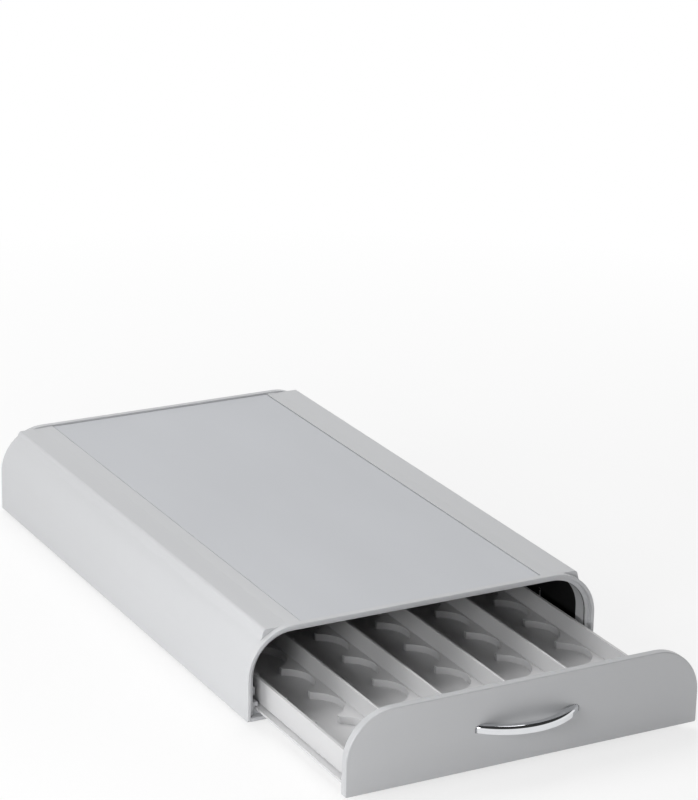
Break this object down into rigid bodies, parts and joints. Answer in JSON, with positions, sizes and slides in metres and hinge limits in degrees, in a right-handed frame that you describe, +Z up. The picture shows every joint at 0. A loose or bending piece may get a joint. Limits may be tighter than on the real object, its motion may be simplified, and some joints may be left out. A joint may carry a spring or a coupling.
{
  "type": "coffee pod drawer",
  "caption": "Low arched drawer unit that a coffee machine stands on, with a wide pull-out tray of divided lanes for pods and a bow handle.",
  "frame": {"origin": "bottom centre of the whole object at rest, with its drawer drawn out as pictured", "axes": "+Y from the drawer front to the back, +Z up, +X to the right seen from the front"},
  "size_m": [0.237, 0.5152, 0.0582],
  "materials": {
    "shell_grey": "satin silver-grey moulded plastic",
    "platform_grey": "satin silver-grey moulded plastic, slightly bluer",
    "front_grey": "satin silver-grey moulded plastic",
    "tray_grey": "light grey moulded plastic",
    "base_grey": "dark grey moulded plastic",
    "chrome": "bright chrome",
    "foot_rubber": "black rubber",
    "screw_steel": "plated steel"
  },
  "bodies": {
    "casing": {"top_shell": "shell_grey", "top_panel": "platform_grey", "front_frame": "shell_grey", "rear_panel": "shell_grey", "floor_plate": "base_grey", "left_runner": "tray_grey", "right_runner": "tray_grey", "foot_front_left": "foot_rubber", "foot_front_right": "foot_rubber", "foot_rear_left": "foot_rubber", "foot_rear_right": "foot_rubber", "casing_screws": "screw_steel"},
    "drawer": {"drawer_tray": "tray_grey", "divider_1": "tray_grey", "divider_2": "tray_grey", "divider_3": "tray_grey", "divider_4": "tray_grey", "drawer_front": "front_grey", "handle": "chrome", "handle_screws": "screw_steel", "front_screws": "screw_steel"}
  },
  "joints": [
    {"name": "drawer_slide", "type": "slide", "parent": "casing", "child": "drawer", "axis": [0, -1, 0], "range_m": [-0.1138, 0.1752]}
  ]
}
